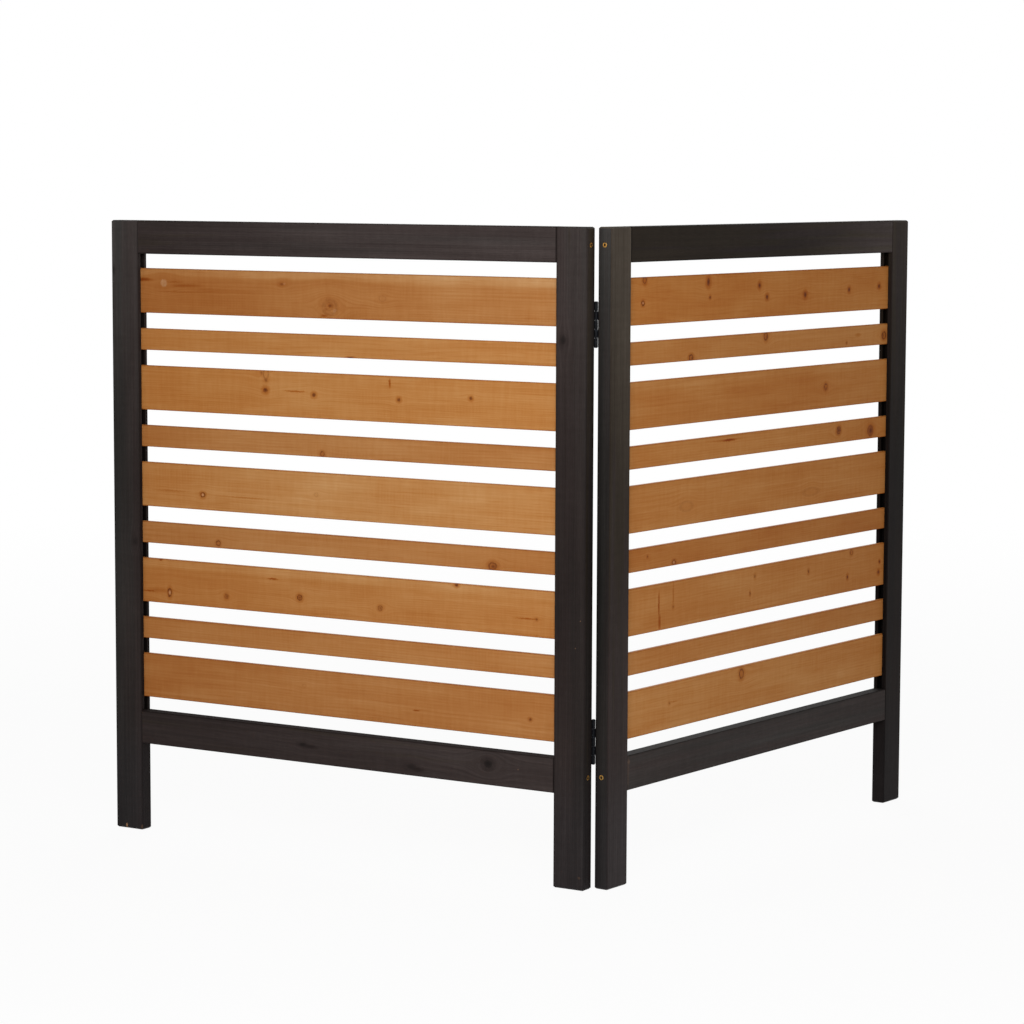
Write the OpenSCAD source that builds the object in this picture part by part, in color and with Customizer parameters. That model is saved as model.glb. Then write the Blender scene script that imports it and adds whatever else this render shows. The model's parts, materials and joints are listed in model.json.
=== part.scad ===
// Two-panel folding screen that stands round an outdoor cooling unit.
// Each panel is a dark frame of two stiles and two rails. Its nine slats, wide and
// narrow by turns, are let into stopped grooves in the stiles.
// Two butt hinges with rolled knuckles join the panels on the inside of the fold.
// The outside of the fold faces -Y, +Z is up and the feet stand at height 0.
// A panel is drawn flat: hinge axis on Z, width along +X, back towards +Y. It is then
// turned by half of the bend, and the left panel is its mirror image.

/* [Panel] */
// Height of each panel, feet to top
panel_h = 950; // [880:10:1200]
// Width of each panel
panel_w = 850; // [500:10:1000]
// Clear height under the bottom rail
leg_h = 138; // [80:1:200]
// Angle between the two panels as they stand
fold_angle = 94.5; // [60:0.5:170]

/* [Frame timber] */
// Thickness of the frame, front to back
frame_t = 22.5; // [20:0.5:30]
// Face width of the upright stiles
stile_w = 51; // [44:1:70]
// Face height of the two rails
rail_h = 51; // [44:1:70]
// Radius on the long edges of stiles and rails
frame_ease = 2; // [1:0.5:3]
// Chamfer round the feet and the tops of the stiles
end_chamfer = 2.5; // [0.5:0.5:4]
// Chamfer on the ends of the rails, which leaves a fine V where they meet the stiles
joint_chamfer = 0.8; // [0.4:0.1:1.5]

/* [Slats] */
// Thickness of every slat
slat_t = 8; // [6:0.5:10]
// Height of a wide slat
wide_slat_h = 68.5; // [50:0.5:80]
// Height of a narrow slat
narrow_slat_h = 33.3; // [20:0.1:45]
// Gap between a rail and the slat next to it
end_gap = 22; // [10:1:40]
// Radius on the long edges of the slats
slat_ease = 1.5; // [0.5:0.5:2.5]

/* [Grooves] */
// Depth of the groove in the inner edge of each stile
groove_depth = 8; // [6:0.5:10]
// Play between a slat and each wall of its groove
groove_play = 0.15; // [0.1:0.05:0.4]
// Space left past the end of a slat for the timber to move
slat_end_play = 0.5; // [0.3:0.1:1.5]

/* [Frame screws and dowels] */
// Diameter of the frame screws
screw_d = 4.5; // [4:0.5:6]
// Head diameter of the frame screws
screw_head_d = 7.2; // [6.8:0.2:11]
// Length of the frame screws
screw_l = 80; // [70:5:100]
// Diameter of the dowels
dowel_d = 8; // [6:1:10]
// Length of the dowels
dowel_l = 40; // [30:5:50]
// Distance between the two dowels of a joint
dowel_spacing = 30; // [24:1:34]
// Space left past each end of a dowel for glue
dowel_end_play = 0.5; // [0.3:0.1:1]

/* [Slat brads] */
// Diameter of the headless brads that pin the slats from behind
brad_d = 1.2; // [1:0.1:1.6]
// Length of the brads
brad_l = 12; // [10:0.5:13]
// How far the brads are punched below the surface
brad_set = 0.2; // [0:0.1:0.5]

/* [Hinges] */
// Height of a hinge
hinge_h = 64; // [50:1:76]
// Width of a leaf, from the pin's centre to its edge
leaf_w = 19.5; // [17:0.5:25]
// Thickness of a leaf
leaf_t = 1.2; // [1:0.1:1.6]
// Diameter of the hinge pin
pin_d = 3; // [2.4:0.1:4]
// Diameter of the pin's heads
pin_head_d = 4.8; // [4.4:0.1:5.4]
// Thickness of the pin's heads
pin_head_t = 0.9; // [0.6:0.1:1.5]
// Play between two neighbouring knuckles
knuckle_play = 0.3; // [0.2:0.05:0.5]
// Gap between the stiles when the screen is opened flat
stile_gap = 1; // [0.6:0.1:3]
// Distance from the top of the panel to the upper hinge
upper_hinge_drop = 106; // [70:1:200]
// Distance from the lower edge of the bottom rail to the lower hinge
lower_hinge_rise = 44; // [40:1:200]
// Diameter of the hinge screws
hinge_screw_d = 3; // [2.5:0.5:3.5]
// Head diameter of the hinge screws
hinge_screw_head_d = 6.2; // [5.5:0.1:7]
// Length of the hinge screws
hinge_screw_l = 16; // [12:1:18]
// From the free edge of a leaf to the rims of its two end screws
leaf_edge_margin = 2.4; // [1.5:0.1:4]
// From the top and bottom of a leaf to the rims of its two end screws
leaf_end_margin = 5.5; // [3:0.5:8]
// From the notches of a leaf to the rim of its middle screw
leaf_root_margin = 2.8; // [2:0.1:4]

/* [Hidden] */
$fn = 48;
SIDES = ["left", "right"];
HINGES = ["upper", "lower"];
SLATS_PER_PANEL = 9;
FRAME_PIECES = ["outer_stile", "hinge_stile", "top_rail", "bottom_rail"];
FIXINGS = ["frame_screws", "frame_dowels", "slat_brads"];
LEAF_PIECES = ["leaf", "leaf_screws"];

FRAME_STAIN = "#3a3532";
SLAT_STAIN = "#a8703a";
DOWEL_WOOD = "#c9a878";
BLACK_STEEL = "#1c1d20";
YELLOW_ZINC = "#c2973f";
BRIGHT_STEEL = "#9a9a98";

// Small values shared by the fits
fixing_play = 0.05;
pin_play = 0.05;
cut_past = 1;
barrel_overhang = 0.05;
seam_w = 0.25;
leaf_corner = 0.5;
screw_rim = 0.4;
recess_w = 1;
recess_depth = 1.8;
dowel_chamfer = 1;
BRAD_FN = 16;

// Hinge geometry: the leaf is rolled round the pin, so the pin and the leaf set the barrel
KNUCKLES = 5;
barrel_r = pin_d / 2 + pin_play + leaf_t;
knuckle_h = hinge_h / KNUCKLES;
notch_u = barrel_r + knuckle_play;
axis_side = stile_gap / 2;
axis_back = barrel_r - barrel_overhang;
upper_hinge_z = panel_h - upper_hinge_drop - hinge_h;
lower_hinge_z = leg_h + lower_hinge_rise;

// Places along the width of a panel, measured from the hinge axis
hinge_edge_u = axis_side;
hinge_inner_u = axis_side + stile_w;
outer_edge_u = axis_side + panel_w;
outer_inner_u = outer_edge_u - stile_w;
rail_l = outer_inner_u - hinge_inner_u;
slat_reach = groove_depth - slat_end_play;
mid_y = -(axis_back + frame_t / 2);

// Heights of the rails and the slats
top_rail_z = panel_h - rail_h;
opening_h = top_rail_z - leg_h - rail_h;
WIDE_COUNT = 5;
NARROW_COUNT = SLATS_PER_PANEL - WIDE_COUNT;
slats_h = WIDE_COUNT * wide_slat_h + NARROW_COUNT * narrow_slat_h;
slat_gap = (opening_h - slats_h - 2 * end_gap) / (SLATS_PER_PANEL - 1);
rail_mid_z = [leg_h + rail_h / 2, top_rail_z + rail_h / 2];

function is_wide(i) = i % 2 == 1;
function slat_h(i) = is_wide(i) ? wide_slat_h : narrow_slat_h;
function slat_top(i) = i == 1 ? top_rail_z - end_gap : slat_top(i - 1) - slat_h(i - 1) - slat_gap;
function slat_mid(i) = slat_top(i) - slat_h(i) / 2;
function brad_offsets(i) = is_wide(i) ? [-wide_slat_h / 4, wide_slat_h / 4] : [0];

// Each knuckle stops half of the play short of its neighbour. The end ones run to the ends of the hinge.
function knuckle_low(k) = k == 0 ? 0 : k * knuckle_h + knuckle_play / 2;
function knuckle_high(k) = k == KNUCKLES - 1 ? hinge_h : (k + 1) * knuckle_h - knuckle_play / 2;

// The origin lies under the middle of the standing screen
panel_turn = (180 - fold_angle) / 2;
front_reach = (axis_side + frame_ease) * sin(panel_turn)
    - (axis_back + frame_t - frame_ease) * cos(panel_turn) - frame_ease;
back_reach = (outer_edge_u - frame_ease) * sin(panel_turn)
    - (axis_back + frame_ease) * cos(panel_turn) + frame_ease;
axis_y = -(front_reach + back_reach) / 2;

// Stands a flat-drawn panel piece in its place on one side of the fold
module stand(side) {
    translate([0, axis_y, 0])
        if (side == "left") mirror([1, 0, 0]) rotate([0, 0, panel_turn]) children();
        else rotate([0, 0, panel_turn]) children();
}

// Rectangle with round corners, centred on the origin
module eased_rect(w, h, r) {
    square([w - 2 * r, h], center = true);
    square([w, h - 2 * r], center = true);
    for (x = [-1, 1]) for (y = [-1, 1]) translate([x * (w / 2 - r), y * (h / 2 - r)]) circle(r = r);
}

// Rectangle from the origin with its corners cut off
module clipped_rect(w, h, c) {
    polygon([[c, 0], [w - c, 0], [w, c], [w, h - c], [w - c, h], [c, h], [0, h - c], [0, c]]);
}

// Upright board with eased edges and chamfered ends, standing at height 0 on the origin
module stile_board() {
    intersection() {
        linear_extrude(panel_h) eased_rect(stile_w, frame_t, frame_ease);
        translate([-stile_w / 2, frame_t / 2, 0])
            rotate([90, 0, 0]) linear_extrude(frame_t) clipped_rect(stile_w, panel_h, end_chamfer);
        translate([-stile_w / 2, -frame_t / 2, 0])
            rotate([90, 0, 90]) linear_extrude(stile_w) clipped_rect(frame_t, panel_h, end_chamfer);
    }
}

// Level board between the stiles, with its lower edge at the given height
module rail_board(z) {
    intersection() {
        translate([hinge_inner_u, mid_y, z + rail_h / 2])
            rotate([90, 0, 90]) linear_extrude(rail_l) eased_rect(frame_t, rail_h, frame_ease);
        translate([hinge_inner_u, mid_y - frame_t / 2, z])
            linear_extrude(rail_h) clipped_rect(rail_l, frame_t, joint_chamfer);
    }
}

// Solid of revolution for a countersunk screw, head at height 0, pointing along +Z.
// With play above 0 it is the hole that the screw goes into.
module countersunk(head_d, d, l, play) {
    head_r = head_d / 2 + play;
    r = d / 2 + play;
    start = play > 0 ? -cut_past : 0;
    end = l + play;
    tip_l = play > 0 ? 0 : d;
    rotate_extrude() polygon([[0, start], [head_r, start], [head_r, screw_rim],
        [r, screw_rim + head_r - r], [r, end - tip_l], [0, end]]);
}

// Countersunk screw with a cross recess half as wide as its head
module screw(head_d, d, l) {
    recess_l = head_d / 2;
    difference() {
        countersunk(head_d, d, l, 0);
        for (turn = [0, 90]) rotate([0, 0, turn])
            translate([-recess_l / 2, -recess_w / 2, -cut_past])
                cube([recess_l, recess_w, cut_past + recess_depth]);
    }
}

// Puts its children on the axis of each frame screw of one stile
module at_frame_screws(end) {
    for (z = rail_mid_z)
        translate([end == "hinge" ? hinge_edge_u : outer_edge_u, mid_y, z])
            rotate([0, end == "hinge" ? 90 : -90, 0]) children();
}

// Puts its children at the middle of each dowel of one stile
module at_dowels(end) {
    for (z = rail_mid_z) for (k = [-1, 1])
        translate([end == "hinge" ? hinge_inner_u : outer_inner_u, mid_y, z + k * dowel_spacing / 2])
            rotate([0, 90, 0]) children();
}

// Puts its children at the head of each brad in both ends of one slat
module at_brads(i) {
    for (u = [hinge_inner_u - groove_depth / 2, outer_inner_u + groove_depth / 2])
        for (offset = brad_offsets(i))
            translate([u, -axis_back, slat_mid(i) + offset]) rotate([90, 0, 0]) children();
}

// Puts its children at the three screws of a leaf, the middle one nearer the pin
module at_leaf_screws(z0) {
    head_r = hinge_screw_head_d / 2;
    end_u = leaf_w - leaf_edge_margin - head_r;
    end_z = leaf_end_margin + head_r;
    middle_u = notch_u + leaf_root_margin + head_r;
    for (p = [[end_u, end_z], [middle_u, hinge_h / 2], [end_u, hinge_h - end_z]])
        translate([p[0], leaf_t - axis_back, z0 + p[1]]) rotate([90, 0, 0]) children();
}

module frame_screw_holes(end) {
    at_frame_screws(end) countersunk(screw_head_d, screw_d, screw_l, fixing_play);
}

module dowel_holes(end) {
    hole_l = dowel_l + 2 * dowel_end_play;
    at_dowels(end) cylinder(d = dowel_d + 2 * fixing_play, h = hole_l, center = true);
}

module brad_holes(i) {
    hole_l = brad_set + brad_l + fixing_play;
    at_brads(i) translate([0, 0, -cut_past])
        cylinder(d = brad_d + 2 * fixing_play, h = cut_past + hole_l, $fn = BRAD_FN);
}

module leaf_screw_holes(z0) {
    at_leaf_screws(z0) countersunk(hinge_screw_head_d, hinge_screw_d, hinge_screw_l, fixing_play);
}

// Groove for the slats, stopped at the two rails
module slat_groove(end) {
    groove_w = slat_t + 2 * groove_play;
    u = end == "hinge" ? hinge_inner_u - groove_depth : outer_inner_u - cut_past;
    translate([u, mid_y - groove_w / 2, leg_h + rail_h])
        cube([groove_depth + cut_past, groove_w, opening_h]);
}

module stile(side, end) {
    color(FRAME_STAIN) stand(side) difference() {
        translate([end == "hinge" ? hinge_edge_u + stile_w / 2 : outer_edge_u - stile_w / 2, mid_y, 0])
            stile_board();
        slat_groove(end);
        frame_screw_holes(end);
        dowel_holes(end);
        for (i = [1:SLATS_PER_PANEL]) brad_holes(i);
        if (end == "hinge") for (z0 = [upper_hinge_z, lower_hinge_z]) leaf_screw_holes(z0);
    }
}

module rail(side, z) {
    color(FRAME_STAIN) stand(side) difference() {
        rail_board(z);
        for (end = ["hinge", "outer"]) {
            frame_screw_holes(end);
            dowel_holes(end);
        }
    }
}

module slat(side, i) {
    color(SLAT_STAIN) stand(side) difference() {
        translate([hinge_inner_u - slat_reach, mid_y, slat_mid(i)]) rotate([90, 0, 90])
            linear_extrude(rail_l + 2 * slat_reach) eased_rect(slat_t, slat_h(i), slat_ease);
        brad_holes(i);
    }
}

module frame_screws(side) {
    color(YELLOW_ZINC) stand(side)
        for (end = ["hinge", "outer"]) at_frame_screws(end) screw(screw_head_d, screw_d, screw_l);
}

module frame_dowels(side) {
    color(DOWEL_WOOD) stand(side) for (end = ["hinge", "outer"]) at_dowels(end)
        rotate_extrude() polygon([[0, -dowel_l / 2], [dowel_d / 2 - dowel_chamfer, -dowel_l / 2],
            [dowel_d / 2, dowel_chamfer - dowel_l / 2], [dowel_d / 2, dowel_l / 2 - dowel_chamfer],
            [dowel_d / 2 - dowel_chamfer, dowel_l / 2], [0, dowel_l / 2]]);
}

module slat_brads(side) {
    color(BRIGHT_STEEL) stand(side) for (i = [1:SLATS_PER_PANEL])
        at_brads(i) translate([0, 0, brad_set]) cylinder(d = brad_d, h = brad_l, $fn = BRAD_FN);
}

// One knuckle before it is bored, counted from the bottom, with the strip of leaf that runs to it
module knuckle(k) {
    h = knuckle_high(k) - knuckle_low(k);
    translate([0, 0, knuckle_low(k)]) {
        cylinder(r = barrel_r, h = h);
        translate([0, -axis_back, 0]) cube([notch_u + 2 * leaf_corner, leaf_t, h]);
    }
}

// The left leaf holds the pin with knuckles 0, 2 and 4, and the right leaf turns on it with 1 and 3.
// The slot through the knuckles is the seam where the rolled strip comes back to the leaf.
module hinge_leaf(side, z0) {
    own = side == "left" ? [0:2:KNUCKLES - 1] : [1:2:KNUCKLES - 2];
    color(BLACK_STEEL) stand(side) difference() {
        translate([0, 0, z0]) difference() {
            union() {
                translate([notch_u, leaf_t - axis_back, 0]) rotate([90, 0, 0]) linear_extrude(leaf_t)
                    clipped_rect(leaf_w - notch_u, hinge_h, leaf_corner);
                for (k = own) knuckle(k);
            }
            translate([0, 0, -cut_past]) cylinder(r = pin_d / 2 + pin_play, h = hinge_h + 2 * cut_past);
            translate([0, leaf_t - axis_back, -cut_past])
                cube([barrel_r + cut_past, seam_w, hinge_h + 2 * cut_past]);
        }
        leaf_screw_holes(z0);
    }
}

module hinge_pin(z0) {
    head_r = pin_head_d / 2;
    crown = pin_head_t / 2;
    color(BLACK_STEEL) translate([0, axis_y, z0]) rotate_extrude() polygon([
        [0, -pin_head_t], [head_r - crown, -pin_head_t], [head_r, -crown], [head_r, 0], [pin_d / 2, 0],
        [pin_d / 2, hinge_h], [head_r, hinge_h], [head_r, hinge_h + crown],
        [head_r - crown, hinge_h + pin_head_t], [0, hinge_h + pin_head_t]]);
}

module leaf_screws(side, z0) {
    color(BLACK_STEEL) stand(side) at_leaf_screws(z0)
        screw(hinge_screw_head_d, hinge_screw_d, hinge_screw_l);
}

for (side = SIDES) {
    stile(side, "outer");
    stile(side, "hinge");
    rail(side, top_rail_z);
    rail(side, leg_h);
    for (i = [1:SLATS_PER_PANEL])
        slat(side, i);
    frame_screws(side);
    frame_dowels(side);
    slat_brads(side);
}
for (hinge = HINGES) {
    z0 = hinge == "upper" ? upper_hinge_z : lower_hinge_z;
    for (side = SIDES) {
        hinge_leaf(side, z0);
        leaf_screws(side, z0);
    }
    hinge_pin(z0);
}
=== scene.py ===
"""Finishes, studio and camera of a two-panel folding screen of stained timber.

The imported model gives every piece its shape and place. This script gives each piece its finish: the
charcoal stain of the frames, the orange-brown stain of the slats with their knots, and the metals of
the screws, brads and hinges. It then sets up a plain pale studio and the camera.
"""

import json
import logging
import math
import random
from dataclasses import dataclass, field
from enum import Enum
from typing import Any

import bpy
from mathutils import Euler, Matrix, Vector


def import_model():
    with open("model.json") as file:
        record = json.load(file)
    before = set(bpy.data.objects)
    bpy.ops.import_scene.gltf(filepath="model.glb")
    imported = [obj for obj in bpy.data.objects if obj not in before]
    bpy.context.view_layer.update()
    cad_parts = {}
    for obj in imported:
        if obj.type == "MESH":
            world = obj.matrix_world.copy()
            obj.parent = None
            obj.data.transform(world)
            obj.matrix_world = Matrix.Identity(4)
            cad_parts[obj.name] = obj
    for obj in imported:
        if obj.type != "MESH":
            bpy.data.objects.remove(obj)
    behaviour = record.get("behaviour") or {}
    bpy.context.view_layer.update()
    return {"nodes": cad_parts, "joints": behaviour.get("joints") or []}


LOG = logging.getLogger("screen")
MM = 0.001
NOISE_MEAN = 0.5

Triple = tuple[float, float, float]
Colour = Triple
Step = tuple[float, float]


def swatch(red: int, green: int, blue: int) -> Colour:
    """Turns a colour as it looks on a swatch into the linear light that a shader takes.

    Args:
        red: Red of the swatch, 0 to 255.
        green: Green of the swatch, 0 to 255.
        blue: Blue of the swatch, 0 to 255.

    Returns:
        The same colour in linear light, 0 to 1.
    """
    def linear(channel: int) -> float:
        """Undoes the display curve of one channel."""
        share = channel / 255
        return share / 12.92 if share <= 0.04045 else ((share + 0.055) / 1.055) ** 2.4
    return linear(red), linear(green), linear(blue)


class Side(Enum):
    """The two panels, as they stand on the left and the right of the fold."""

    LEFT = "left"
    RIGHT = "right"

    @property
    def sign(self) -> int:
        """-1 on the left and 1 on the right, along X."""
        return -1 if self is Side.LEFT else 1


class Grain(Enum):
    """The way that a board's grain runs in its panel."""

    UPRIGHT = "upright"
    LEVEL = "level"


class Value:
    """A number or a colour in a shader, on which Python's operators add nodes."""

    def __init__(self, shader: "Shader", socket: bpy.types.NodeSocket) -> None:
        """Wraps the socket of a shader that gives the value."""
        self.shader = shader
        self.socket = socket

    def _math(self, operation: str, *terms: "Value | float") -> "Value":
        """Adds one Math node on the given terms."""
        return self.shader.node("ShaderNodeMath", {"operation": operation}, dict(enumerate(terms)))

    def __add__(self, other: "Value | float") -> "Value":
        """Sum of two values."""
        return self._math("ADD", self, other)

    def __radd__(self, other: float) -> "Value":
        """Sum with a plain number on the left."""
        return self._math("ADD", other, self)

    def __sub__(self, other: "Value | float") -> "Value":
        """Difference of two values."""
        return self._math("SUBTRACT", self, other)

    def __rsub__(self, other: float) -> "Value":
        """Difference from a plain number on the left."""
        return self._math("SUBTRACT", other, self)

    def __mul__(self, other: "Value | float") -> "Value":
        """Product of two values."""
        return self._math("MULTIPLY", self, other)

    def __rmul__(self, other: float) -> "Value":
        """Product with a plain number on the left."""
        return self._math("MULTIPLY", other, self)

    def __truediv__(self, other: "Value | float") -> "Value":
        """Quotient of two values."""
        return self._math("DIVIDE", self, other)

    def __rtruediv__(self, other: float) -> "Value":
        """Quotient with a plain number on the left."""
        return self._math("DIVIDE", other, self)

    def __pow__(self, other: "Value | float") -> "Value":
        """Power of a value."""
        return self._math("POWER", self, other)

    def __rpow__(self, other: float) -> "Value":
        """Power of a plain number."""
        return self._math("POWER", other, self)

    def __abs__(self) -> "Value":
        """Distance from zero."""
        return self._math("ABSOLUTE", self)

    def centred(self) -> "Value":
        """Noise, moved to lie about zero."""
        return self - NOISE_MEAN

    def fraction(self) -> "Value":
        """What is left after the whole part is taken away."""
        return self._math("FRACT", self)

    def root(self) -> "Value":
        """Square root."""
        return self._math("SQRT", self)

    def exp(self) -> "Value":
        """Natural exponential."""
        return self._math("EXPONENT", self)

    def sine(self) -> "Value":
        """Sine of an angle in radians."""
        return self._math("SINE", self)

    def least(self, other: "Value | float") -> "Value":
        """The smaller of two values."""
        return self._math("MINIMUM", self, other)

    def most(self, other: "Value | float") -> "Value":
        """The larger of two values."""
        return self._math("MAXIMUM", self, other)

    def rise(self, low: float, high: float) -> "Value":
        """Smooth step from 0 at one value to 1 at another, above or below it."""
        return self.shader.node("ShaderNodeMapRange", {"interpolation_type": "SMOOTHSTEP"},
                                {"Value": self, "From Min": low, "From Max": high})


class Shader:
    """Builds the node tree of one material, or of the surroundings."""

    def __init__(self, owner: bpy.types.Material | bpy.types.World) -> None:
        """Starts on an empty tree.

        Args:
            owner: What the tree belongs to.
        """
        self.owner = owner
        owner.use_nodes = True
        self.tree = owner.node_tree
        self.tree.nodes.clear()

    @classmethod
    def named(cls, name: str) -> "Shader":
        """Starts a new material."""
        return cls(bpy.data.materials.new(name))

    def node(self, kind: str, settings: dict[str, Any] | None = None,
             inputs: dict[int | str, Any] | None = None, output: int | str = 0) -> Value | None:
        """Adds a node of any type.

        Args:
            kind: The type of the node.
            settings: Its own settings, set before its sockets. "stops" are a ramp's places and colours.
            inputs: For each socket, a value to link or a plain number, vector or colour.
            output: The socket that gives the result.

        Returns:
            The output that was asked for, or None from a node without outputs.
        """
        made = self.tree.nodes.new(kind)
        for name, setting in (settings or {}).items():
            if name == "stops":
                self._set_stops(made.color_ramp, setting)
            else:
                setattr(made, name, setting)
        for name, given in (inputs or {}).items():
            if isinstance(given, Value):
                self.tree.links.new(given.socket, made.inputs[name])
            else:
                made.inputs[name].default_value = given
        return Value(self, made.outputs[output]) if len(made.outputs) else None

    @staticmethod
    def _set_stops(ramp: bpy.types.ColorRamp, stops: tuple[tuple[float, Colour], ...]) -> None:
        """Gives a colour ramp its stops."""
        while len(ramp.elements) < len(stops):
            ramp.elements.new(1.0)
        for element, (place, colour) in zip(ramp.elements, stops):
            element.position = place
            element.color = (*colour, 1.0)

    def place(self, scale: Triple = (1.0, 1.0, 1.0)) -> Value:
        """The place on the object, scaled by units to a metre along each axis."""
        spot = self.node("ShaderNodeTexCoord", {}, {}, "Object")
        return self.node("ShaderNodeMapping", {}, {"Vector": spot, "Scale": scale})

    def mix(self, first: Value | Colour, second: Value | Colour, share: Value | float) -> Value:
        """Mixes two colours.

        Args:
            first: The colour at a share of 0.
            second: The colour at a share of 1.
            share: How much of the second there is.

        Returns:
            The mixed colour.
        """
        factor, colour_a, colour_b, result = 0, 6, 7, 2
        flat = [c if isinstance(c, Value) else (*c, 1.0) for c in (first, second)]
        return self.node("ShaderNodeMix", {"data_type": "RGBA"},
                         {factor: share, colour_a: flat[0], colour_b: flat[1]}, result)

    def ramp(self, share: Value, low: Colour, high: Colour, step: Step) -> Value:
        """Runs evenly from a low colour to a high one over a step of the share."""
        return self.node("ShaderNodeValToRGB", {"stops": ((step[0], low), (step[1], high))}, {"Fac": share})

    def vector(self, x: Value | float, y: Value | float, z: Value | float) -> Value:
        """Joins three values to a vector."""
        return self.node("ShaderNodeCombineXYZ", {}, {0: x, 1: y, 2: z})

    def noise(self, place: Value, detail: float = 2.0, output: str = "Fac") -> Value:
        """Smooth noise, one value or a colour, with a bump to each unit and more in finer layers."""
        return self.node("ShaderNodeTexNoise", {}, {"Vector": place, "Scale": 1.0, "Detail": detail}, output)

    def clouds(self, per_metre: float, detail: float = 3.0) -> Value:
        """Noise that is alike every way, with its bumps counted to a metre."""
        return self.noise(self.place((per_metre,) * 3), detail)

    def bump(self, height: Value, strength: float, depth_mm: float = 0.2) -> Value:
        """Turns a height from 0 to 1 into a normal, the real depth of 1 being given."""
        return self.node("ShaderNodeBump", {},
                         {"Strength": strength, "Distance": depth_mm * MM, "Height": height})

    def finish(self, inputs: dict[str, Any]) -> bpy.types.Material:
        """Closes the material with a Principled shader.

        Args:
            inputs: The sockets of that shader.

        Returns:
            The finished material.
        """
        surface = self.node("ShaderNodeBsdfPrincipled", {}, inputs)
        self.node("ShaderNodeOutputMaterial", {}, {"Surface": surface})
        return self.owner


@dataclass(frozen=True)
class Fold:
    """The upright line that the panels fold about, and how far each is turned from straight across."""

    axis_y: float
    turn: float

    @classmethod
    def of(cls, joint: dict[str, Any]) -> "Fold":
        """Reads the fold, in metres and radians, from a joint whose lower limit is the screen laid flat."""
        return cls(joint["pos_m"][1], math.radians(-joint["range_deg"][0] / 2))

    def to_panel(self, side: Side) -> Matrix:
        """The way from the standing screen to a panel's millimetres: X out from the fold, Y back, Z up."""
        return (Matrix.Rotation(-self.turn, 4, "Z")
                @ Matrix.Diagonal((side.sign / MM, 1 / MM, 1 / MM, 1))
                @ Matrix.Translation((0, -self.axis_y, 0)))

    def panel_place(self, shader: Shader, side: Side) -> tuple[Value, Value, Value]:
        """Gives a shader its place in a panel's millimetres.

        Args:
            shader: The material that reads it.
            side: The panel.

        Returns:
            The distances from the fold, to the back and up, in millimetres.
        """
        mapped = shader.node(
            "ShaderNodeMapping", {},
            {"Vector": shader.node("ShaderNodeTexCoord", {}, {}, "Object"),
             "Location": tuple(self.to_panel(side).translation),
             "Rotation": (0, 0, -self.turn),
             "Scale": (side.sign / MM, 1 / MM, 1 / MM)})
        return tuple(shader.node("ShaderNodeSeparateXYZ", {}, {0: mapped}, axis) for axis in range(3))


@dataclass(frozen=True)
class Board:
    """One board of a panel, with its bounds in the panel's own millimetres."""

    name: str
    side: Side
    grain: Grain
    low: Vector
    high: Vector

    @classmethod
    def of(cls, name: str, side: Side, grain: Grain, fold: Fold, node: bpy.types.Object) -> "Board":
        """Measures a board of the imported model.

        Args:
            name: The name of its node.
            side: The panel that holds it.
            grain: The way that its grain runs.
            fold: The fold of the screen.
            node: The board's object.

        Returns:
            The measured board.
        """
        way = fold.to_panel(side)
        corners = [way @ vertex.co for vertex in node.data.vertices]
        low = Vector(min(c[k] for c in corners) for k in range(3))
        high = Vector(max(c[k] for c in corners) for k in range(3))
        return cls(name, side, grain, low, high)

    @property
    def middle(self) -> Vector:
        """The middle of the board."""
        return (self.low + self.high) / 2

    @property
    def length(self) -> float:
        """The length along the grain."""
        size = self.high - self.low
        return size.x if self.grain is Grain.LEVEL else size.z

    @property
    def width(self) -> float:
        """The width of the face, across the grain."""
        size = self.high - self.low
        return size.z if self.grain is Grain.LEVEL else size.x

    @property
    def thickness(self) -> float:
        """The thickness from front to back."""
        return self.high.y - self.low.y


class Mark(Enum):
    """What a knot or a blemish in a board looks like.

    SOUND is a knot dark all over, RINGED one with a dark broken rim, PALE a ringed one with a light
    heart and DISC a light one. STREAK is a long dark stain, and BARE a spot with the wood laid bare.
    """

    SOUND = "sound"
    RINGED = "ringed"
    PALE = "pale"
    DISC = "disc"
    STREAK = "streak"
    BARE = "bare"


SOUND, RINGED, PALE, DISC, STREAK, BARE = Mark


@dataclass(frozen=True)
class Patch:
    """What a mark adds to one mask of its board.

    The edge and the hollow are steps in the mark's half sizes, so that 1 is its edge. The share is how
    strong the patch is, and breaks how much of that goes where the mark is broken. A front patch is on
    the board's face alone.
    """

    mask: str
    edge: Step
    share: float = 1.0
    breaks: float = 0.0
    hollow: Step | None = None
    front: bool = False


HALO = Patch("halo", (2.5, 0.9), 0.4)
RIM = (Patch("core", (1.35, 1.08), 1.0, 0.4, (0.6, 0.95)), Patch("pip", (1.35, 1.08), 0.8, 1.0, (0.6, 0.95)))

PATCHES: dict[Mark, tuple[Patch, ...]] = {
    SOUND: (HALO, Patch("core", (1.15, 0.7)), Patch("pip", (0.75, 0.2))),
    RINGED: (HALO, *RIM),
    PALE: (HALO, *RIM, Patch("pale", (0.65, 0.3), 0.35)),
    DISC: (Patch("pale", (1.15, 0.7), 1.0, 0.5),),
    STREAK: (Patch("halo", (1.0, 0.1), 0.9),),
    BARE: (Patch("pale", (1.2, 0.6), front=True),),
}


@dataclass(frozen=True)
class Knot:
    """A knot or a blemish, in millimetres: its place from the fold and from the board's centre line, and
    its half sizes along and across the grain.

    On an upright board the place is its height and how far it is from the centre line.
    """

    along: float
    across: float
    length: float
    breadth: float
    mark: Mark = SOUND
    strength: float = 1.0


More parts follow.
